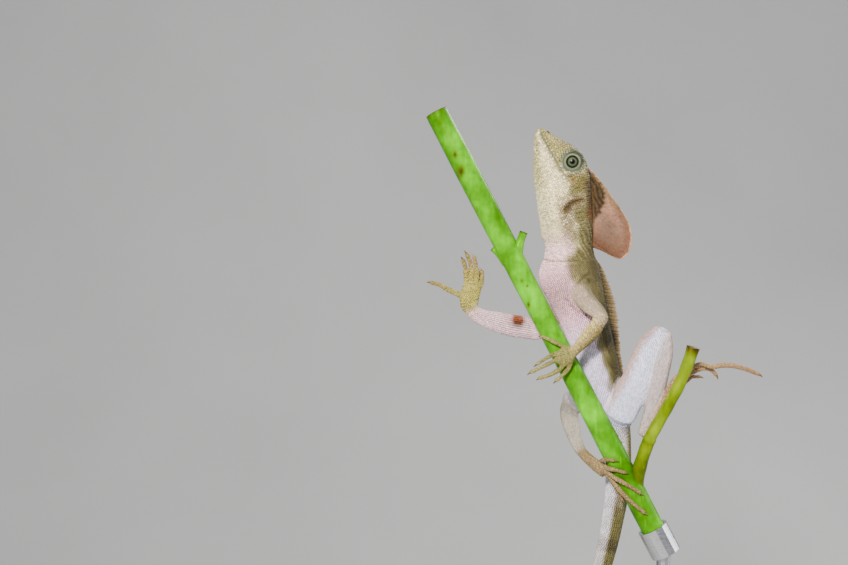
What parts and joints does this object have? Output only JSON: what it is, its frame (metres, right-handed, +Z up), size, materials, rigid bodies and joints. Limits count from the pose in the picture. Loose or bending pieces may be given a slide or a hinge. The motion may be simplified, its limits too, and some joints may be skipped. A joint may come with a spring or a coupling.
{
  "type": "basilisk lizard",
  "caption": "Life-size still model of a pale basilisk lizard clinging head up to a cut green stem, its long tail hanging free, on a round display stand.",
  "frame": {"origin": "centre of the display stand's flat underside", "axes": "+Z up from the stand to the lizard's snout; +X towards the lizard's back and the foot stretched out behind it; the lizard's left side faces -Y"},
  "size_m": [0.21, 0.21, 0.586],
  "materials": {
    "pale_skin": "fine-scaled pale skin, slightly moist",
    "olive_skin": "fine-scaled olive-tan skin",
    "crest_skin": "thin pinkish-tan scaled skin",
    "eye": "wet, glossy",
    "green_bark": "smooth glossy green stem",
    "twig_bark": "olive-green young bark",
    "turned_wood": "satin varnished",
    "steel": "brushed"
  },
  "bodies": {
    "root": {"head": "olive_skin", "lower_jaw": "pale_skin", "eye_left": "eye", "eye_right": "eye", "head_crest": "crest_skin", "neck": "pale_skin", "torso": "olive_skin", "tail_1": "olive_skin", "tail_2": "olive_skin", "tail_3": "olive_skin", "tail_4": "olive_skin", "tail_5": "olive_skin", "left_upper_arm": "olive_skin", "left_forearm": "olive_skin", "left_hand": "olive_skin", "right_upper_arm": "pale_skin", "right_forearm": "pale_skin", "right_hand": "olive_skin", "left_thigh": "pale_skin", "left_shank": "pale_skin", "left_foot": "pale_skin", "right_thigh": "pale_skin", "right_shank": "pale_skin", "right_foot": "pale_skin", "perch_stem": "green_bark", "perch_twig": "twig_bark", "stand_base": "turned_wood", "stand_rod": "steel", "stand_cup": "steel"}
  },
  "joints": []
}
